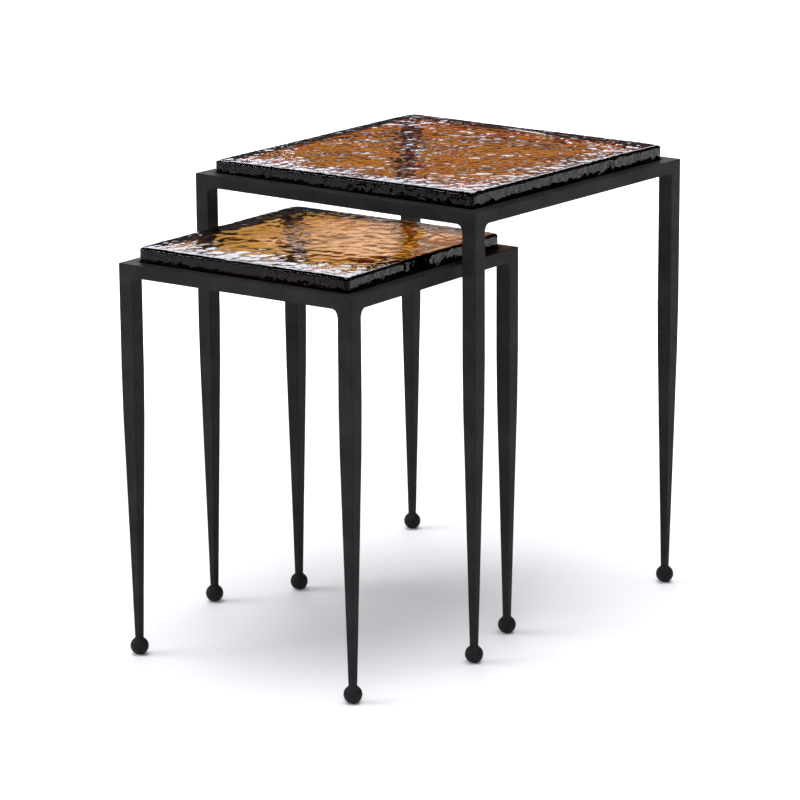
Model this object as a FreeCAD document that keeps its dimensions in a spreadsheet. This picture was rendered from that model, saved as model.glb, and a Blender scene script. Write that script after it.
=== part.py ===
"""A nest of two square side tables: forged iron frames with drop-in cast glass tops.

Millimetres. +Z is up, z = 0 is the floor, and the origin is under the middle of the whole nest.
The front is -Y: the small table stands partly drawn out from under the large one that way.
Each table is drawn about its own upright axis, with its front rail along X, and then placed.
"""
import FreeCAD, Part
import math
import os

import Sketcher

# Driving dimensions. Everything else follows from these through the "Derived" sheet.
SIZES = {
    # The two frames
    "large_width": 436.0,            # outside of the large frame, across the rails
    "large_frame_height": 560.0,     # floor to the top of the large table's rails
    "rail_width": 16.0,              # square bar, seen from above
    "rail_height": 16.0,
    "edge_round": 1.2,               # worn upright edges of the legs and frame corners
    "rail_top_round": 0.8,           # worn top edges of the rails
    # Legs: square bar, forged to a taper, with ground weld fillets up to the rails
    "leg_side": 20.0,
    "leg_tip": 8.2,                  # side of the square just above the foot
    "large_taper_length": 322.0,
    "small_taper_length": 308.0,
    "taper_blend": 30.0,             # how far the half-steep start of the taper reaches each way
    "fillet_radius": 8.0,            # hollow curve between a leg and the rail above it
    # Ball feet
    "foot_radius": 11.25,
    "foot_flat_radius": 3.0,         # ground flat that the ball stands on
    "neck_base_radius": 6.0,         # where the weld neck leaves the ball
    "neck_top_radius": 4.7,
    "neck_rise": 1.5,                # from the top of the ball to the end of the leg
    # Ledges, pads and glass
    "ledge_width": 12.0,
    "ledge_thickness": 3.0,
    "pad_radius": 4.5,
    "pad_height": 1.5,
    "pad_inset": 30.0,               # from the rail's inner corner to the pad, along the ledge
    "glass_proud": 20.0,             # how far the slab stands above the rails
    "glass_recess": 6.0,             # how far it sits down between them
    "glass_gap": 1.0,                # play between the slab and the rails
    "glass_corner": 5.0,             # corner radius in plan
    "glass_top_round": 3.5,
    "glass_bottom_round": 1.5,
    # How the small table nests, and where it stands now
    "nest_side_gap": 23.0,           # between the two tables' legs or feet, when centred
    "nest_head_gap": 32.0,           # top of the small glass to the underside of the large rails
    "pull_out": 258.5,               # centre to centre, along -Y
    "side_shift": 15.0,              # small table's centre, towards +X
    "small_turn": 2.3,               # degrees, small table turned about its upright axis
}

# Sizes that follow, as formulas for the second sheet. Each uses only those above it.
DERIVED = {
    "large_half": "Sizes.large_width / 2",
    "small_half": "large_half - max(Sizes.leg_side; 2 * Sizes.foot_radius) - Sizes.nest_side_gap",
    "large_top": "Sizes.large_frame_height",
    "small_top": "large_top - Sizes.rail_height - Sizes.nest_head_gap - Sizes.glass_proud",
    "large_leg_top": "large_top - Sizes.rail_height",
    "small_leg_top": "small_top - Sizes.rail_height",
    "foot_centre": "sqrt(Sizes.foot_radius ^ 2 - Sizes.foot_flat_radius ^ 2)",
    "neck_base": "foot_centre + sqrt(Sizes.foot_radius ^ 2 - Sizes.neck_base_radius ^ 2)",
    "leg_end": "foot_centre + Sizes.foot_radius + Sizes.neck_rise",
    "leg_half": "Sizes.leg_side / 2",
    "tip_half": "Sizes.leg_tip / 2",
    "glass_thickness": "Sizes.glass_proud + Sizes.glass_recess",
    # How far each table reaches from its own centre: at its corners or, if further, its feet
    "large_reach": "max(large_half; large_half - leg_half + Sizes.foot_radius)",
    "turned_width": "cos(Sizes.small_turn * 1 deg) + sin(Sizes.small_turn * 1 deg)",
    "small_reach": "max((small_half - Sizes.edge_round) * turned_width + Sizes.edge_round;"
                   " (small_half - leg_half) * turned_width + Sizes.foot_radius)",
    # The large table's centre, so that the whole nest is centred on the origin
    "large_centre_y": "(Sizes.pull_out + small_reach - large_reach) / 2",
    "small_centre_y": "large_centre_y - Sizes.pull_out",
}

TABLES = ("large", "small")
SIDES = ("front", "right", "back", "left")
CORNERS = ("front_left", "front_right", "back_right", "back_left")
EXACT = 1e-5                         # two lengths closer than this are the same

doc = FreeCAD.newDocument("nesting_tables")


# --- The two sheets ---------------------------------------------------------------------------

def write_sheet(name, entries):
    """One row per size: its name in column A, and its value, under that alias, in column B."""
    sheet = doc.addObject("Spreadsheet::Sheet", name)
    for row, (alias, value) in enumerate(entries.items(), start=1):
        sheet.set(f"A{row}", alias)
        sheet.set(f"B{row}", value)
        sheet.setAlias(f"B{row}", alias)
    doc.recompute()
    return sheet


write_sheet("Sizes", {alias: str(value) for alias, value in SIZES.items()})
write_sheet("Derived", {alias: "=" + formula for alias, formula in DERIVED.items()})


# --- Sketches ---------------------------------------------------------------------------------

def origin_plane(body, role):
    """The body's own base plane with this role, such as XY_Plane."""
    return next(plane for plane in body.Origin.OriginFeatures if plane.Role == role)


def add_sketch(body, name, role, offset="0"):
    """A sketch on one of the body's base planes, moved along that plane's normal by offset."""
    sketch = body.newObject("Sketcher::SketchObject", name)
    sketch.AttachmentSupport = [(origin_plane(body, role), "")]
    sketch.MapMode = "FlatFace"
    sketch.setExpression("AttachmentOffset.Base.z", offset)
    return sketch


def number(sketch, formula):
    """What a formula on the sheets comes to now."""
    return float(sketch.evalExpression(formula))


def dimension(sketch, kind, element, end, formula):
    """A distance from the sketch's origin to one end of an element, bound to a formula."""
    value = number(sketch, formula)
    index = sketch.addConstraint(Sketcher.Constraint(kind, -1, 1, element, end, value))
    sketch.setExpression(f"Constraints[{index}]", formula)


def arc_between(start, end, radius, hollow):
    """The shorter arc from start to end. A hollow one bends to the left of that way."""
    chord = end - start
    to_left = FreeCAD.Vector(-chord.y, chord.x, 0).normalize()
    rise = math.sqrt(max(radius ** 2 - (chord.Length / 2) ** 2, 0.0))
    centre = (start + end) / 2 + to_left * (-rise if hollow else rise)
    # The geometry itself always runs anticlockwise about its centre
    ends = (end, start) if hollow else (start, end)
    angles = [math.atan2(point.y - centre.y, point.x - centre.x) for point in ends]
    return Part.ArcOfCircle(Part.Circle(centre, FreeCAD.Vector(0, 0, 1), radius), *angles)


def closed_outline(sketch, corners):
    """A closed outline through corners, each (x, y) or (x, y, radius, hollow) as formulas.

    A corner with a radius is followed by an arc instead of a straight line. The outline runs
    anticlockwise, so an arc bulges outwards unless it is hollow.
    """
    points = [FreeCAD.Vector(number(sketch, c[0]), number(sketch, c[1]), 0) for c in corners]
    elements = []
    for place, corner in enumerate(corners):
        start, end = points[place], points[(place + 1) % len(corners)]
        if len(corner) == 2:
            element = sketch.addGeometry(Part.LineSegment(start, end))
            elements.append((element, 1, 2))
            continue
        radius, hollow = corner[2], corner[3]
        element = sketch.addGeometry(arc_between(start, end, number(sketch, radius), hollow))
        index = sketch.addConstraint(
            Sketcher.Constraint("Radius", element, number(sketch, radius)))
        sketch.setExpression(f"Constraints[{index}]", radius)
        elements.append((element, 2, 1) if hollow else (element, 1, 2))
    for place, corner in enumerate(corners):
        element, first, last = elements[place]
        following, next_first, _ = elements[(place + 1) % len(corners)]
        sketch.addConstraint(
            Sketcher.Constraint("Coincident", element, last, following, next_first))
        dimension(sketch, "DistanceX", element, first, corner[0])
        dimension(sketch, "DistanceY", element, first, corner[1])


def rounded_square(sketch, half, bend):
    """A square outline about the sketch's origin, its corners rounded with radius bend."""
    straight = f"({half} - {bend})"
    closed_outline(sketch, [
        (f"-{straight}", f"-{half}"),
        (straight, f"-{half}", bend, False),
        (half, f"-{straight}"),
        (half, straight, bend, False),
        (straight, half),
        (f"-{straight}", half, bend, False),
        (f"-{half}", straight),
        (f"-{half}", f"-{straight}", bend, False),
    ])


# --- Features ---------------------------------------------------------------------------------

def add_body(label):
    body = doc.addObject("PartDesign::Body", label)
    body.Label = label
    return body


def add_pad(body, name, sketch, length, symmetric=False):
    pad = body.newObject("PartDesign::Pad", name)
    pad.Profile = sketch
    pad.setExpression("Length", length)
    pad.Midplane = symmetric
    doc.recompute()
    return pad


def add_fillet(body, name, base, radius, wanted):
    """Round the edges of base for which wanted(edge) is true."""
    edges = [f"Edge{i}" for i, edge in enumerate(base.Shape.Edges, start=1) if wanted(edge)]
    fillet = body.newObject("PartDesign::Fillet", name)
    fillet.Base = (base, edges)
    fillet.setExpression("Radius", radius)
    doc.recompute()
    return fillet


def add_quarter_copies(body, features):
    """Repeat features at every quarter turn about the table's upright axis."""
    around = body.newObject("PartDesign::PolarPattern", "quarter_copies")
    around.Originals = features
    around.Axis = (next(axis for axis in body.Origin.OriginFeatures if axis.Role == "Z_Axis"), [""])
    around.Angle = 360
    around.Occurrences = len(SIDES)
    body.Tip = around
    return around


def level_edges_at(height, also=lambda box: True):
    """A test for edges that lie level at this height, and whose boxes pass a further test."""
    def wanted(edge):
        box = edge.BoundBox
        return box.ZLength < EXACT and abs(box.ZMin - height) < EXACT and also(box)
    return wanted


def place(piece, table, quarter, inset="0"):
    """Put a piece at its table's centre, turned by quarter turns.

    inset moves it first towards the front left corner, by that much in X and in Y.
    """
    centre_x = "Sizes.side_shift" if table == "small" else "0"
    table_turn = "Sizes.small_turn" if table == "small" else "0"
    turn = f"({table_turn} + {90 * quarter}) * 1 deg"
    move_x = f"{inset} * (sin({turn}) - cos({turn}))"
    move_y = f"{inset} * (sin({turn}) + cos({turn}))"
    piece.Placement.Rotation = FreeCAD.Rotation(FreeCAD.Vector(0, 0, 1), 0)
    piece.setExpression("Placement.Base.x", f"{centre_x} + {move_x}")
    piece.setExpression("Placement.Base.y", f"Derived.{table}_centre_y - {move_y}")
    piece.setExpression("Placement.Rotation.Angle", turn)


# --- The pieces -------------------------------------------------------------------------------

def make_rail(table, side, quarter):
    """A length of square bar, mitred at both ends, drawn as the front rail."""
    half = f"Derived.{table}_half"
    inner = f"({half} - Sizes.rail_width)"
    bend = "Sizes.edge_round"
    # Half of the rounded outer corner lies on each side of the mitre, up to this far along X
    mitre = f"({half} - {bend} * (1 - sqrt(0.5)))"
    body = add_body(f"{table}_rail_{side}")
    sketch = add_sketch(body, "rail_plan", "XY_Plane", f"Derived.{table}_leg_top")
    closed_outline(sketch, [
        (f"-{mitre}", f"-{mitre}", bend, False),
        (f"-({half} - {bend})", f"-{half}"),
        (f"{half} - {bend}", f"-{half}", bend, False),
        (mitre, f"-{mitre}"),
        (inner, f"-{inner}"),
        (f"-{inner}", f"-{inner}"),
    ])
    bar = add_pad(body, "rail_bar", sketch, "Sizes.rail_height")
    # Every top edge but the two slanting ones, which are as long in X as in Y
    top = number(sketch, f"Derived.{table}_top")
    add_fillet(body, "top_rounds", bar, "Sizes.rail_top_round",
               level_edges_at(top, lambda box: box.XLength > box.YLength + EXACT))
    place(body, table, quarter)
    return body


def make_leg(table, corner, quarter):
    """A leg, straight and then tapering, drawn about its own axis as the front left one."""
    top = f"Derived.{table}_leg_top"
    half, tip, end = "Derived.leg_half", "Derived.tip_half", "Derived.leg_end"
    angle = f"atan(({half} - {tip}) / Sizes.{table}_taper_length)"
    bend_centre = f"{end} + Sizes.{table}_taper_length"
    # Where the bar is cut across: its half width there, and the height
    sections = [
        (tip, end),
        (f"({half} - Sizes.taper_blend * sin({angle}))",
         f"{bend_centre} - Sizes.taper_blend * cos({angle})"),
        (half, f"{bend_centre} + Sizes.taper_blend"),
        (half, top),
    ]
    body = add_body(f"{table}_leg_{corner}")
    outlines = []
    for level, (half_width, height) in enumerate(sections):
        outlines.append(add_sketch(body, f"section_{level}", "XY_Plane", height))
        rounded_square(outlines[-1], half_width, "Sizes.edge_round")
    bar = body.newObject("PartDesign::AdditiveLoft", "tapered_bar")
    bar.Profile = outlines[0]
    bar.Sections = outlines[1:]
    bar.Ruled = True
    doc.recompute()

    place(body, table, quarter, f"(Derived.{table}_half - {half})")
    return body


def make_weld_fillets(table):
    """The hollow ground welds, as deep as the rails, on both inner sides of every leg's head."""
    top = f"Derived.{table}_leg_top"
    leg_face = f"(Derived.{table}_half - Sizes.leg_side)"
    rail_middle = f"(Derived.{table}_half - Sizes.rail_width / 2)"
    body = add_body(f"{table}_weld_fillets")
    # At the front left leg, one fillet is under the front rail and one under the left rail
    fillets = []
    for name, plane, offset in (("under_front_rail", "XZ_Plane", rail_middle),
                                ("under_left_rail", "YZ_Plane", f"-{rail_middle}")):
        sketch = add_sketch(body, name + "_outline", plane, offset)
        closed_outline(sketch, [
            (f"-{leg_face}", top),
            (f"-{leg_face}", f"{top} - Sizes.fillet_radius", "Sizes.fillet_radius", True),
            (f"-{leg_face} + Sizes.fillet_radius", top),
        ])
        fillets.append(add_pad(body, name, sketch, "Sizes.rail_width", symmetric=True))
    add_quarter_copies(body, fillets)
    place(body, table, 0)
    return body


def make_foot(table, corner, quarter):
    """A ball, ground flat underneath, with a short weld neck up to the leg."""
    body = add_body(f"{table}_foot_{corner}")
    sketch = add_sketch(body, "half_section", "XZ_Plane")
    closed_outline(sketch, [
        ("0", "0"),
        ("Sizes.foot_flat_radius", "0", "Sizes.foot_radius", False),
        ("Sizes.neck_base_radius", "Derived.neck_base"),
        ("Sizes.neck_top_radius", "Derived.leg_end"),
        ("0", "Derived.leg_end"),
    ])
    ball = body.newObject("PartDesign::Revolution", "ball")
    ball.Profile = sketch
    ball.ReferenceAxis = (sketch, ["V_Axis"])
    ball.Angle = 360
    place(body, table, quarter, f"(Derived.{table}_half - Derived.leg_half)")
    return body


def make_ledge(table, side, quarter):
    """A flat bar welded inside a rail, mitred like it, that carries the glass."""
    outer = f"(Derived.{table}_half - Sizes.rail_width)"
    inner = f"({outer} - Sizes.ledge_width)"
    underside = (f"Derived.{table}_top - Sizes.glass_recess - Sizes.pad_height"
                 " - Sizes.ledge_thickness")
    body = add_body(f"{table}_ledge_{side}")
    sketch = add_sketch(body, "ledge_plan", "XY_Plane", underside)
    closed_outline(sketch, [
        (f"-{outer}", f"-{outer}"),
        (outer, f"-{outer}"),
        (inner, f"-{inner}"),
        (f"-{inner}", f"-{inner}"),
    ])
    add_pad(body, "ledge_bar", sketch, "Sizes.ledge_thickness")
    place(body, table, quarter)
    return body


def make_pads(table):
    """Two clear pads on each ledge, one near each end, which the glass lies on."""
    corner = f"(Derived.{table}_half - Sizes.rail_width)"
    along = f"({corner} - Sizes.pad_inset)"
    across = f"-({corner} - Sizes.ledge_width / 2)"
    body = add_body(f"{table}_pads")
    ledge_top = f"Derived.{table}_top - Sizes.glass_recess - Sizes.pad_height"
    sketch = add_sketch(body, "front_pads", "XY_Plane", ledge_top)
    for centre_x in (along, f"-{along}"):
        centre = FreeCAD.Vector(number(sketch, centre_x), number(sketch, across), 0)
        radius = SIZES["pad_radius"]
        circle = sketch.addGeometry(Part.Circle(centre, FreeCAD.Vector(0, 0, 1), radius))
        index = sketch.addConstraint(Sketcher.Constraint("Radius", circle, radius))
        sketch.setExpression(f"Constraints[{index}]", "Sizes.pad_radius")
        dimension(sketch, "DistanceX", circle, 3, centre_x)
        dimension(sketch, "DistanceY", circle, 3, across)
    pair = add_pad(body, "front_pair", sketch, "Sizes.pad_height")
    add_quarter_copies(body, [pair])
    place(body, table, 0)
    return body


def make_glass(table):
    """The slab: square with rounded corners, softened all round its top and bottom edges."""
    half = f"(Derived.{table}_half - Sizes.rail_width - Sizes.glass_gap)"
    body = add_body(f"{table}_glass")
    sketch = add_sketch(body, "slab_plan", "XY_Plane",
                        f"Derived.{table}_top - Sizes.glass_recess")
    rounded_square(sketch, half, "Sizes.glass_corner")
    slab = add_pad(body, "slab", sketch, "Derived.glass_thickness")
    bottom = number(sketch, f"Derived.{table}_top - Sizes.glass_recess")
    top = number(sketch, f"Derived.{table}_top + Sizes.glass_proud")
    upper = add_fillet(body, "top_round", slab, "Sizes.glass_top_round", level_edges_at(top))
    add_fillet(body, "bottom_round", upper, "Sizes.glass_bottom_round", level_edges_at(bottom))
    place(body, table, 0)
    return body


# --- Build, check and write -------------------------------------------------------------------

pieces = []
for table in TABLES:
    for quarter, side in enumerate(SIDES):
        pieces.append(make_rail(table, side, quarter))
        pieces.append(make_ledge(table, side, quarter))
    for quarter, corner in enumerate(CORNERS):
        pieces.append(make_leg(table, corner, quarter))
        pieces.append(make_foot(table, corner, quarter))
    pieces.append(make_weld_fillets(table))
    pieces.append(make_pads(table))
    pieces.append(make_glass(table))
doc.recompute()

for item in doc.Objects:
    if "Invalid" in item.State or "Error" in item.State:
        raise RuntimeError(f"{item.Label} did not compute: {item.State}")

os.makedirs("parts", exist_ok=True)
for piece in pieces:
    if piece.Shape.isNull() or not piece.Shape.isValid():
        raise RuntimeError(f"{piece.Label} has no valid shape")
for piece in pieces:
    piece.Shape.exportStep(f"parts/{piece.Label}.step")
print(f"{len(pieces)} sub-parts written")
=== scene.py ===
"""The looks of the nesting tables: black iron frames with rippled slabs of amber cast glass.

Metres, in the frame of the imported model. The front is -Y and the floor is z = 0.
"""
import math

import bpy
import numpy as np
from mathutils import Matrix, Vector, noise


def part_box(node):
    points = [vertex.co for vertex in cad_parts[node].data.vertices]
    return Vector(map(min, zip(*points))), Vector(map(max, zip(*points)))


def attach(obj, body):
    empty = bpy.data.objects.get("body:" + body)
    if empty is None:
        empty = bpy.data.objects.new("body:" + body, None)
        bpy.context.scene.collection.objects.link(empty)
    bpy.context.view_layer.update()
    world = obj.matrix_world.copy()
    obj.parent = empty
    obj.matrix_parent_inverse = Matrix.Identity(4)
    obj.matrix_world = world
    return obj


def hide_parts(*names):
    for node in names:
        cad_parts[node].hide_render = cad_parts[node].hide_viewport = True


MM = 0.001

# The camera: where it looks, which way and from how far
CAMERA_AZIMUTH = 37.93           # degrees round from the front, towards the right
CAMERA_ELEVATION = 14.31
CAMERA_ROLL = -0.36
CAMERA_DISTANCE = 4.475
CAMERA_LENS = 163.7              # millimetres
CAMERA_SENSOR = 36.0             # millimetres
CAMERA_REACH = 200.0             # how far off it still sees the floor
AIM_BESIDE_LARGE = Vector((0.0649, -0.1679))   # from the middle of the large table
AIM_HEIGHT = 0.300

# The light: soft boxes spaced evenly round the tables, and a bright ceiling
BOX_COUNT = 4
BOX_ACROSS = (-0.15, 0.45)       # cosine of the angle round a box, from its edge inwards
BOX_FOOT = (0.225, 0.33)         # sine of the elevation, from a box's lower edge upwards
BOX_HEAD = (0.62, 0.50)          # and from its upper edge downwards
BOX_LEVEL = 4.3
KEY_AZIMUTH = -140.0             # the boxes on this side, the front left, are the brighter ones
KEY_SHARE = 0.9                  # by how much, as a share of BOX_LEVEL
STUDIO_LEVEL = 0.05              # between the boxes
STUDIO_TINT = (0.95, 0.97, 1.07)
CEILING_ANGLE = 52.0             # degrees across
CEILING_ENERGY = 2.95
FLOOR_REACH = 60.0
GLOW_START, GLOW_FULL = 0.9, 1.5   # painted light: the floor also glows by itself, from this far out
GLOW_LEVEL = 0.45

# The slabs
SLAB_CORNER = 5 * MM
TOP_ROUND = 4.0 * MM
TOP_ROUND_STEPS = 6
BOTTOM_ROUND = 1.5 * MM
BOTTOM_ROUND_STEPS = 4
GRID_STEP = 1.6 * MM
BASE_SHARE = 4                   # the base's cells are this many times larger
BASE_INSET = 1 * MM              # how far the base's flat starts inside its rounded edge
BASE_CELL = 40 * MM
BASE_DEPTH = 0.15 * MM
SIDE_LEVELS = 13
PILLOW_WIDTH = 52 * MM           # how far in from its edges the top starts to fall
RELIEF_FADE = 12 * MM            # how far down the side the top's relief reaches
DIMPLE_CELL = 6 * MM             # the sides' small hollows
DIMPLE_DEPTH = 0.45 * MM
SWELL_CELL = 40 * MM             # the sides' slow swells
SWELL_DEPTH = 0.30 * MM
POOL_EDGE = 12 * MM              # how soon the crumples start outside the pool
CRUMPLE_CELL = 7 * MM            # the small bumps outside the pool
CRUMPLE_DEPTH = 0.45 * MM
POUR_CELL = 11 * MM              # how far apart the rings of the pour are
POUR_WANDER = 9 * MM             # how far the rings stray from a true circle
POUR_WANDER_CELL = 55 * MM
POUR_TURNS = 5.0                 # how often a ring's height changes on the way round
EDGE_CALM = 9 * MM               # the ripples die down over this much by the edges
EDGE_RIPPLE = 0.3                # the share of them that is left at the very edge
RIDGE_HEIGHT = 0.55 * MM
RIDGE_WIDTH = 1.5 * MM
RIDGE_WANDER = 2.5 * MM          # how far a ridge strays from a true circle
RIDGE_WANDER_CELL = 30 * MM
RIDGE_FADE = 8.0                 # degrees
RIDGE_SLANT = 0.8                # how far in a ridge runs for each step down the side
PAINTED_SHADE_BAND = (32 * MM, 10 * MM)   # painted shade: the glass darkens between these distances from its edges
PAINTED_EDGE_SHADE = (0.48, 0.50, 0.54)  # what is left of its tint under the painted shade

# How each slab was cast.
# turn: how far round it stands, in degrees; colour and density: what the glass absorbs
# pool: the smooth middle's radius; pour: how high the rings in the top are
# falls: how far the top has fallen by its front, right, back and left edges
# warp: how far it is out of level at its right, at its back and, as twist, at that corner
# bumps: how far across each size is, and how deep
# ridges: centre, radius, and the first and last direction from the centre, in degrees
LARGE_CAST = {
    "turn": 0.0, "colour": (0.857, 0.643, 0.07), "density": 140.0,
    "seed": 1.3, "pool": 178 * MM, "pour": 0.26 * MM,
    "falls": (1.7 * MM, 1.5 * MM, 2.2 * MM, 2.2 * MM), "warp": (0.9 * MM, 0.7 * MM, -0.8 * MM),
    "bumps": ((10 * MM, 0.29 * MM), (5.5 * MM, 0.15 * MM), (50 * MM, 0.5 * MM)),
    "ridges": (((0, 0), 172 * MM, (38, 100)), ((0, 0), 226 * MM, (15, 75)),
               ((0, 0), 200 * MM, (215, 265)), ((0, 0), 268 * MM, (290, 340))),
}
SMALL_CAST = {
    "turn": 2.3, "colour": (0.84, 0.64, 0.14), "density": 100.0,
    "seed": 5.9, "pool": 140 * MM, "pour": 0.16 * MM,
    "falls": (1.8 * MM, 1.8 * MM, 1.9 * MM, 1.9 * MM), "warp": (0, 0, 0),
    "bumps": ((15 * MM, 0.46 * MM), (8 * MM, 0.15 * MM), (60 * MM, 0.6 * MM)),
    "ridges": (((64 * MM, -4 * MM), 110 * MM, (0, 85)), ((0, 0), 150 * MM, (130, 200))),
}

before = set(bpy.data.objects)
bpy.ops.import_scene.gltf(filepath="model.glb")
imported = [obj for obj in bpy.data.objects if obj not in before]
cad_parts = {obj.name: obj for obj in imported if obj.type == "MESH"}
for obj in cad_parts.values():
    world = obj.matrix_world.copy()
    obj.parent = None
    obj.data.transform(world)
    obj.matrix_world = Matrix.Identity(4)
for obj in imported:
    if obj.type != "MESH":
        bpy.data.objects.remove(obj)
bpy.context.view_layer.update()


def middle(node):
    """The middle of a CAD node's box."""
    low, high = (Vector(corner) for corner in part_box(node))
    return (low + high) / 2


# --- Camera, floor and light -----------------------------------------------------------------

def make_camera():
    """A long lens looking down on the tables from the front right."""
    azimuth, elevation = math.radians(CAMERA_AZIMUTH), math.radians(CAMERA_ELEVATION)
    forward = Vector((-math.sin(azimuth) * math.cos(elevation),
                      math.cos(azimuth) * math.cos(elevation),
                      -math.sin(elevation)))
    aim = middle("large_glass").xy + AIM_BESIDE_LARGE
    target = Vector((aim.x, aim.y, AIM_HEIGHT))
    data = bpy.data.cameras.new("camera")
    data.lens = CAMERA_LENS
    data.sensor_width = CAMERA_SENSOR
    data.clip_end = CAMERA_REACH
    camera = bpy.data.objects.new("camera", data)
    bpy.context.scene.collection.objects.link(camera)
    turn = forward.to_track_quat("-Z", "Y").to_matrix()
    roll = Matrix.Rotation(math.radians(CAMERA_ROLL), 3, "Z")
    place = Matrix.Translation(target - forward * CAMERA_DISTANCE)
    camera.matrix_world = place @ (turn @ roll).to_4x4()
    bpy.context.scene.camera = camera


def make_floor():
    """A flat floor at z = 0, out to where the camera sees no further."""
    mesh = bpy.data.meshes.new("floor")
    signs = ((-1, -1), (1, -1), (1, 1), (-1, 1))
    corners = [(x * FLOOR_REACH, y * FLOOR_REACH, 0) for x, y in signs]
    mesh.from_pydata(corners, [], [(0, 1, 2, 3)])
    floor = bpy.data.objects.new("floor", mesh)
    bpy.context.scene.collection.objects.link(floor)
    mesh.materials.append(floor_material())


def math_node(nodes, links, operation, *values):
    """A maths node whose inputs are numbers or other nodes' outputs; returns its output."""
    node = nodes.new("ShaderNodeMath")
    node.operation = operation
    for socket, value in zip(node.inputs, values):
        if isinstance(value, (int, float)):
            socket.default_value = value
        else:
            links.new(value, socket)
    return node.outputs[0]


def soft_step(nodes, links, value, start, end):
    """0 before start and 1 after end, smooth between; start may be the larger."""
    node = nodes.new("ShaderNodeMapRange")
    node.interpolation_type = "SMOOTHSTEP"
    low, high = min(start, end), max(start, end)
    node.inputs["From Min"].default_value = low
    node.inputs["From Max"].default_value = high
    node.inputs["To Min"].default_value = 0.0 if start < end else 1.0
    node.inputs["To Max"].default_value = 1.0 if start < end else 0.0
    links.new(value, node.inputs["Value"])
    return node.outputs[0]


def make_world():
    """A dim studio with four soft boxes round it, one of them straight behind the tables."""
    world = bpy.data.worlds.new("studio")
    bpy.context.scene.world = world
    world.use_nodes = True
    nodes, links = world.node_tree.nodes, world.node_tree.links
    coords = nodes.new("ShaderNodeTexCoord")
    split = nodes.new("ShaderNodeSeparateXYZ")
    links.new(coords.outputs["Generated"], split.inputs[0])
    behind = math.radians(90 + CAMERA_AZIMUTH)
    azimuth = math_node(nodes, links, "ARCTAN2", split.outputs["Y"], split.outputs["X"])
    wave = math_node(nodes, links, "MULTIPLY_ADD", azimuth, float(BOX_COUNT), -BOX_COUNT * behind)
    wave = math_node(nodes, links, "COSINE", wave)
    across = soft_step(nodes, links, wave, *BOX_ACROSS)
    above = soft_step(nodes, links, split.outputs["Z"], *BOX_FOOT)
    below = soft_step(nodes, links, split.outputs["Z"], *BOX_HEAD)
    box = math_node(nodes, links, "MULTIPLY", across, above)
    box = math_node(nodes, links, "MULTIPLY", box, below)
    lean = math_node(nodes, links, "SUBTRACT", azimuth, math.radians(KEY_AZIMUTH))
    lean = math_node(nodes, links, "COSINE", lean)
    lean = math_node(nodes, links, "MULTIPLY_ADD", lean, KEY_SHARE, 1.0)
    box = math_node(nodes, links, "MULTIPLY", box, lean)
    level = math_node(nodes, links, "MULTIPLY_ADD", box, BOX_LEVEL, STUDIO_LEVEL)
    tint = nodes.new("ShaderNodeVectorMath")
    tint.operation = "SCALE"
    tint.inputs[0].default_value = STUDIO_TINT
    links.new(level, tint.inputs["Scale"])
    links.new(tint.outputs[0], nodes["Background"].inputs["Color"])


def make_lights():
    """Broad light from straight overhead, as from a white ceiling.

    It does not shine through the glass, so that the slabs throw a plain grey shadow.
    """
    data = bpy.data.lights.new("ceiling", "SUN")
    data.angle = math.radians(CEILING_ANGLE)
    data.energy = CEILING_ENERGY
    light = bpy.data.objects.new("ceiling", data)
    light.visible_transmission = False
    bpy.context.scene.collection.objects.link(light)


# --- Materials --------------------------------------------------------------------------------

def new_material(name):
    """A new material, with its nodes and its links."""
    material = bpy.data.materials.new(name)
    material.use_nodes = True
    return material, material.node_tree.nodes, material.node_tree.links


def noise_texture(nodes, links, scale, detail=3.0, roughness=0.5, stretch=(1, 1, 1)):
    """Object-space noise; scale is in cycles per metre."""
    coords = nodes.new("ShaderNodeTexCoord")
    mapping = nodes.new("ShaderNodeMapping")
    mapping.inputs["Scale"].default_value = stretch
    texture = nodes.new("ShaderNodeTexNoise")
    texture.inputs["Scale"].default_value = scale
    texture.inputs["Detail"].default_value = detail
    texture.inputs["Roughness"].default_value = roughness
    links.new(coords.outputs["Object"], mapping.inputs["Vector"])
    links.new(mapping.outputs["Vector"], texture.inputs["Vector"])
    return texture


def ramp_between(nodes, links, source, low, high, span=(0.3, 0.7)):
    """A colour ramp from low to high over a span of source."""
    ramp = nodes.new("ShaderNodeValToRGB")
    for element, position, colour in zip(ramp.color_ramp.elements, span, (low, high)):
        element.position = position
        element.color = (*colour, 1)
    links.new(source, ramp.inputs[0])
    return ramp


def add_bump(nodes, links, shader, height, distance, strength, under=None):
    """Fine relief on a shader's surface, over the relief of another bump if one is given."""
    bump = nodes.new("ShaderNodeBump")
    bump.inputs["Distance"].default_value = distance
    bump.inputs["Strength"].default_value = strength
    links.new(height, bump.inputs["Height"])
    if under is not None:
        links.new(under.outputs["Normal"], bump.inputs["Normal"])
    links.new(bump.outputs["Normal"], shader.inputs["Normal"])
    return bump


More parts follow.
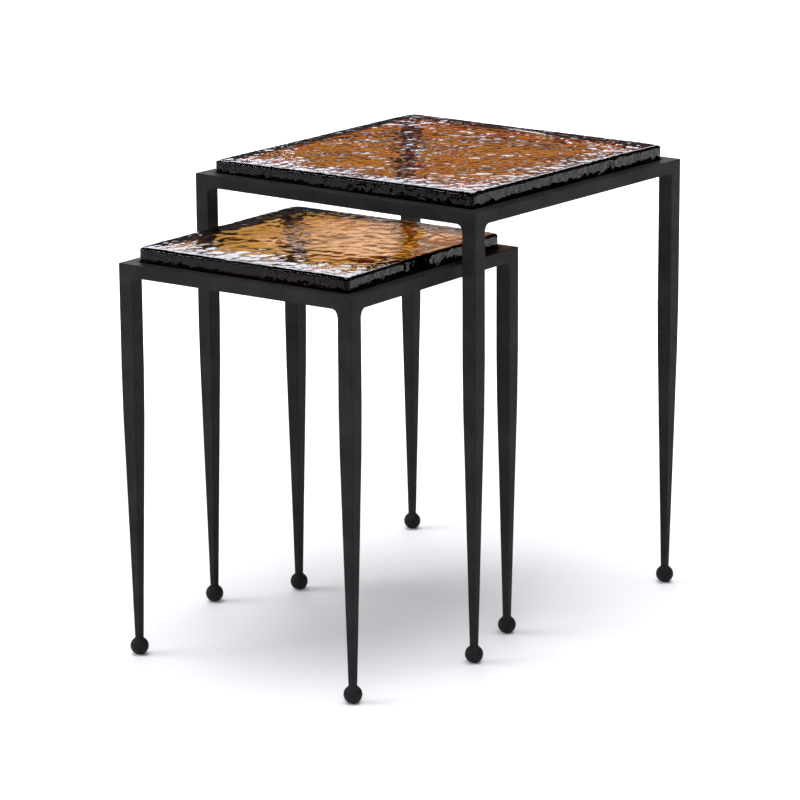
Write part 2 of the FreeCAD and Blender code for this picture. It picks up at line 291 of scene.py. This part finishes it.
def iron_material():
    """Forged bar under a satin black powder coat: fine orange peel over slow hammered swells."""
    material, nodes, links = new_material("black_iron")
    shader = nodes["Principled BSDF"]
    shader.inputs["IOR"].default_value = 1.38
    shader.inputs["Specular IOR Level"].default_value = 0.10
    cloud = noise_texture(nodes, links, 28.0, detail=4.0)
    colour = ramp_between(nodes, links, cloud.outputs["Fac"], (0.0105, 0.0104, 0.0106),
                          (0.0180, 0.0174, 0.0170), (0.35, 0.68))
    links.new(colour.outputs[0], shader.inputs["Base Color"])
    rub = noise_texture(nodes, links, 55.0, detail=5.0, roughness=0.6)
    rough = ramp_between(nodes, links, rub.outputs["Fac"], (0.42, 0.42, 0.42),
                         (0.56, 0.56, 0.56), (0.3, 0.72))
    links.new(rough.outputs[0], shader.inputs["Roughness"])
    swell = noise_texture(nodes, links, 45.0, detail=1.0)
    peel = noise_texture(nodes, links, 900.0, detail=2.0)
    first = add_bump(nodes, links, shader, swell.outputs["Fac"], 0.8 * MM, 0.35)
    add_bump(nodes, links, shader, peel.outputs["Fac"], 0.05 * MM, 0.5, under=first)
    return material


def painted_edge_shade(nodes, links, centre, turn, half):
    """A colour to multiply the tint by, darker in a band inside the slab's edges: painted shade
    standing in for the dark iron seen through the glass there.
    """
    coords = nodes.new("ShaderNodeTexCoord")
    local = nodes.new("ShaderNodeMapping")
    local.vector_type = "TEXTURE"
    local.inputs["Location"].default_value = (centre.x, centre.y, 0)
    local.inputs["Rotation"].default_value = (0, 0, turn)
    links.new(coords.outputs["Object"], local.inputs["Vector"])
    split = nodes.new("ShaderNodeSeparateXYZ")
    links.new(local.outputs["Vector"], split.inputs[0])
    across = math_node(nodes, links, "ABSOLUTE", split.outputs["X"])
    along = math_node(nodes, links, "ABSOLUTE", split.outputs["Y"])
    outward = math_node(nodes, links, "MAXIMUM", across, along)
    band = soft_step(nodes, links, outward, half - PAINTED_SHADE_BAND[0], half - PAINTED_SHADE_BAND[1])
    return ramp_between(nodes, links, band, (1.0, 1.0, 1.0), PAINTED_EDGE_SHADE, (0.0, 1.0))


def glass_material(name, cast, centre, turn, half):
    """Amber glass all the way through: what tints it is how far the light goes inside, and painted
    shade by its edges.
    """
    material, nodes, links = new_material(name)
    shader = nodes["Principled BSDF"]
    shader.inputs["Transmission Weight"].default_value = 1.0
    # Cords of deeper colour, drawn out as the glass ran
    cords = noise_texture(nodes, links, 42.0, detail=6.0, roughness=0.62, stretch=(1.0, 2.2, 1.0))
    tint = ramp_between(nodes, links, cords.outputs["Fac"], (0.74, 0.62, 0.46),
                        (1.0, 1.0, 1.0), (0.34, 0.56))
    # Painted shade: the tint is darkened in a band just inside the slab's edges
    shade = painted_edge_shade(nodes, links, centre, turn, half)
    both = nodes.new("ShaderNodeVectorMath")
    both.operation = "MULTIPLY"
    links.new(tint.outputs[0], both.inputs[0])
    links.new(shade.outputs[0], both.inputs[1])
    links.new(both.outputs[0], shader.inputs["Base Color"])
    shader.inputs["IOR"].default_value = 1.50
    shader.inputs["Specular Tint"].default_value = (0.16, 0.16, 0.17, 1)
    film = noise_texture(nodes, links, 160.0, detail=3.0)
    rough = ramp_between(nodes, links, film.outputs["Fac"], (0.0, 0.0, 0.0),
                         (0.05, 0.05, 0.05), (0.45, 0.8))
    links.new(rough.outputs[0], shader.inputs["Roughness"])
    grain = noise_texture(nodes, links, 330.0, detail=2.0)
    add_bump(nodes, links, shader, grain.outputs["Fac"], 0.12 * MM, 0.35)
    inside = nodes.new("ShaderNodeVolumeAbsorption")
    inside.inputs["Color"].default_value = (*cast["colour"], 1)
    inside.inputs["Density"].default_value = cast["density"]
    links.new(inside.outputs[0], nodes["Material Output"].inputs["Volume"])
    return material


def pad_material():
    """Soft clear plastic, slightly cloudy."""
    material, nodes, links = new_material("clear_pad")
    shader = nodes["Principled BSDF"]
    shader.inputs["Transmission Weight"].default_value = 0.85
    shader.inputs["IOR"].default_value = 1.46
    shader.inputs["Roughness"].default_value = 0.22
    haze = noise_texture(nodes, links, 400.0)
    colour = ramp_between(nodes, links, haze.outputs["Fac"], (0.82, 0.83, 0.82),
                          (0.93, 0.93, 0.92))
    links.new(colour.outputs[0], shader.inputs["Base Color"])
    return material


def floor_material():
    """A white floor that glows away from the tables, painted light which keeps it white far off.
    """
    material, nodes, links = new_material("floor")
    shader = nodes["Principled BSDF"]
    shader.inputs["Roughness"].default_value = 0.9
    shader.inputs["Specular IOR Level"].default_value = 0.1
    shader.inputs["Base Color"].default_value = (0.93, 0.93, 0.93, 1)
    shader.inputs["Emission Color"].default_value = (1, 1, 1, 1)
    coords = nodes.new("ShaderNodeTexCoord")
    away = nodes.new("ShaderNodeVectorMath")
    away.operation = "LENGTH"
    links.new(coords.outputs["Object"], away.inputs[0])
    # Painted light: the floor's own glow rises with distance from the tables
    glow = soft_step(nodes, links, away.outputs["Value"], GLOW_START, GLOW_FULL)
    glow = math_node(nodes, links, "MULTIPLY", glow, GLOW_LEVEL)
    links.new(glow, shader.inputs["Emission Strength"])
    return material


# --- The glass slabs --------------------------------------------------------------------------

def rounded_outline(half, corner, count):
    """count points evenly round a rounded square, from its front left, anticlockwise."""
    side = count // 4
    points = np.zeros((count, 2))
    # A front edge from corner middle to corner middle, whose ends curl round the corners
    arc = corner * math.pi / 4
    straight = half - corner
    along = (np.arange(side) / side * 2 - 1) * (straight + arc)
    bend = np.clip((np.abs(along) - straight) / corner, 0, None)
    x = np.where(bend > 0, np.sign(along) * (straight + corner * np.sin(bend)), along)
    y = -straight - corner * np.cos(bend)
    for quarter in range(4):
        c, s = math.cos(quarter * math.pi / 2), math.sin(quarter * math.pi / 2)
        points[quarter * side:(quarter + 1) * side, 0] = x * c - y * s
        points[quarter * side:(quarter + 1) * side, 1] = x * s + y * c
    return points


def swirl(x, y, cell, seed):
    """Smooth noise between about -1 and 1, whose bumps are about cell across."""
    return noise.noise(Vector((x / cell, y / cell, seed)))


def ridges(x, y, depth, cast):
    """Height of the thin raised lines where the glass met itself in the mould.

    Each is part of a circle on the top, which slants inwards as it runs down the side. Its
    ends fade.
    """
    height = 0.0
    for centre, radius, (first, last) in cast["ridges"]:
        away = math.hypot(x - centre[0], y - centre[1]) + RIDGE_SLANT * depth
        off = away - radius - RIDGE_WANDER * swirl(x, y, RIDGE_WANDER_CELL, radius / MM)
        if abs(off) < 3 * RIDGE_WIDTH:
            heading = math.degrees(math.atan2(y - centre[1], x - centre[0])) % 360
            inside = min(heading - first, last - heading) / RIDGE_FADE
            share = min(max(inside, 0.0), 1.0)
            height += RIDGE_HEIGHT * math.exp(-(off / RIDGE_WIDTH) ** 2) * share
    return height


def top_relief(x, y, half, cast):
    """Height of the cast top face above its own flat plane, at a place from its middle."""
    seed = cast["seed"]
    ripple = 0.0
    for size, (cell, depth) in enumerate(cast["bumps"]):
        ripple += depth * swirl(x, y, cell, seed + 3 * size)
    # Ripples that ring the middle, as the glass was poured, and crumple in the corners
    away = math.hypot(x, y) + POUR_WANDER * swirl(x, y, POUR_WANDER_CELL, seed + 20)
    outside = min(max((away - cast["pool"]) / POOL_EDGE, 0.0), 1.0)
    ripple += outside * CRUMPLE_DEPTH * swirl(x, y, CRUMPLE_CELL, seed + 30)
    angle = math.atan2(y, x)
    around = (POUR_TURNS * math.cos(angle), POUR_TURNS * math.sin(angle))
    ripple += cast["pour"] * noise.noise(Vector((away / POUR_CELL, *around)))
    inward = [max(half + side, 0.0) for side in (y, -x, -y, x)]
    calm = min(min(inward) / EDGE_CALM, 1.0)
    # The face falls away towards its edges
    pillow = math.hypot(*(fall * max(0.0, 1 - distance / PILLOW_WIDTH) ** 2
                          for fall, distance in zip(cast["falls"], inward)))
    right, back, twist = cast["warp"]
    warp = right * x / half + back * y / half + twist * x * y / half ** 2
    ripple *= EDGE_RIPPLE + (1 - EDGE_RIPPLE) * calm
    return ripple + ridges(x, y, 0.0, cast) - pillow + warp


def side_relief(x, y, z, depth, cast):
    """How far the side stands out at a place on it: shallow dimples over slow swells."""
    seed = cast["seed"]
    dimple = noise.noise(Vector((x / DIMPLE_CELL, y / DIMPLE_CELL, z / DIMPLE_CELL + seed)))
    swell = noise.noise(Vector((x / SWELL_CELL, y / SWELL_CELL, z / SWELL_CELL + seed)))
    return DIMPLE_DEPTH * dimple + SWELL_DEPTH * swell + ridges(x, y, depth, cast)


def grid_cap(points, across, height, relief, vertices, faces, is_top):
    """A square grid fitted into an outline; returns the indices of its border, in order."""
    count = len(points)
    index = {}
    middle_cell = across / 2
    for i in range(across + 1):
        for j in range(across + 1):
            a, b = i - middle_cell, j - middle_cell
            reach = max(abs(a), abs(b))
            if reach == 0:
                place = 0.0
            elif b == -reach:
                place = (a + reach) / (2 * reach)
            elif a == reach:
                place = 1 + (b + reach) / (2 * reach)
            elif b == reach:
                place = 2 + (reach - a) / (2 * reach)
            else:
                place = 3 + (reach - b) / (2 * reach)
            place *= count / 4
            first = int(place) % count
            share = place - int(place)
            on_outline = points[first] * (1 - share) + points[(first + 1) % count] * share
            x, y = on_outline * reach / middle_cell
            index[i, j] = len(vertices)
            vertices.append((x, y, height + relief(x, y)))
    for i in range(across):
        for j in range(across):
            quad = (index[i, j], index[i + 1, j], index[i + 1, j + 1], index[i, j + 1])
            faces.append(quad if is_top else quad[::-1])
    border = [index[i, 0] for i in range(across)]
    border += [index[across, j] for j in range(across)]
    border += [index[i, across] for i in range(across, 0, -1)]
    border += [index[0, j] for j in range(across, 0, -1)]
    return border


def slab_mesh(name, half, corner, bottom, top, cast):
    """A closed slab about its own middle: a rippled top, softened edges and a nearly flat base."""
    across = int(round(2 * half / GRID_STEP / 2 / BASE_SHARE)) * 2 * BASE_SHARE
    count = 4 * across
    # Rings down the side: how far in from the outline, and how high
    rings = []
    for i in range(TOP_ROUND_STEPS + 1):
        t = math.pi / 2 * i / TOP_ROUND_STEPS
        rings.append((TOP_ROUND * (1 - math.sin(t)), top - TOP_ROUND * (1 - math.cos(t))))
    upright = top - TOP_ROUND - bottom - BOTTOM_ROUND
    for i in range(1, SIDE_LEVELS):
        rings.append((0.0, top - TOP_ROUND - upright * i / SIDE_LEVELS))
    for i in range(BOTTOM_ROUND_STEPS + 1):
        t = math.pi / 2 * i / BOTTOM_ROUND_STEPS
        rings.append((BOTTOM_ROUND * (1 - math.cos(t)), bottom + BOTTOM_ROUND * (1 - math.sin(t))))

    def outline(inset):
        return rounded_outline(half - inset, corner - inset, count)

    def relief(x, y):
        return top_relief(x, y, half, cast)

    def base_relief(x, y):
        return BASE_DEPTH * swirl(x, y, BASE_CELL, cast["seed"] + 11)

    vertices, faces = [], []
    previous = grid_cap(outline(rings[0][0]), across, top, relief, vertices, faces, True)
    for inset, height in rings[1:]:
        ring = []
        fade = max(0.0, 1 - (top - height) / RELIEF_FADE)
        for x, y in outline(inset):
            out = Vector((x, y, 0)).normalized()
            push = side_relief(x, y, height, top - height, cast) * (1 - inset / TOP_ROUND)
            ring.append(len(vertices))
            vertices.append((x + out.x * push, y + out.y * push, height + relief(x, y) * fade))
        for k in range(count):
            following = (k + 1) % count
            faces.append((previous[k], ring[k], ring[following], previous[following]))
        previous = ring
    # The base is coarser: each of its border edges meets several of the side's
    base_points = outline(BOTTOM_ROUND + BASE_INSET)[::BASE_SHARE]
    lower = grid_cap(base_points, across // BASE_SHARE, bottom, base_relief,
                     vertices, faces, False)
    for k in range(len(lower)):
        edge = [previous[(k * BASE_SHARE + i) % count] for i in range(BASE_SHARE + 1)]
        faces.append((*edge, lower[(k + 1) % len(lower)], lower[k])[::-1])
    mesh = bpy.data.meshes.new(name)
    mesh.from_pydata(vertices, [], faces)
    mesh.validate()
    mesh.shade_smooth()
    return mesh


def make_glass(table, cast):
    """The table's slab, in place of its plain CAD solid."""
    node = f"{table}_glass"
    low, high = (Vector(c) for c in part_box(node))
    turn = math.radians(cast["turn"])
    # The box of a turned rounded square gives back its half width
    half = (high.x - low.x) / 2
    half = (half - SLAB_CORNER) / (math.cos(turn) + math.sin(turn)) + SLAB_CORNER
    mesh = slab_mesh(f"{table}_slab", half, SLAB_CORNER, low.z, high.z, cast)
    slab = bpy.data.objects.new(f"{table}_slab", mesh)
    bpy.context.scene.collection.objects.link(slab)
    centre = (low + high) / 2
    mesh.transform(Matrix.Translation((centre.x, centre.y, 0)) @ Matrix.Rotation(turn, 4, "Z"))
    mesh.materials.append(glass_material(f"{table}_amber_glass", cast, centre, turn, half))
    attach(slab, f"{table}_top")
    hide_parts(node)


# --- Put together -----------------------------------------------------------------------------

bpy.context.scene.view_settings.view_transform = "Standard"
make_camera()
make_floor()
make_world()
make_lights()

iron = iron_material()
clear_pad = pad_material()
for name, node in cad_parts.items():
    if name.endswith("_glass"):
        continue
    node.material_slots[0].material = clear_pad if name.endswith("_pads") else iron

make_glass("large", LARGE_CAST)
make_glass("small", SMALL_CAST)
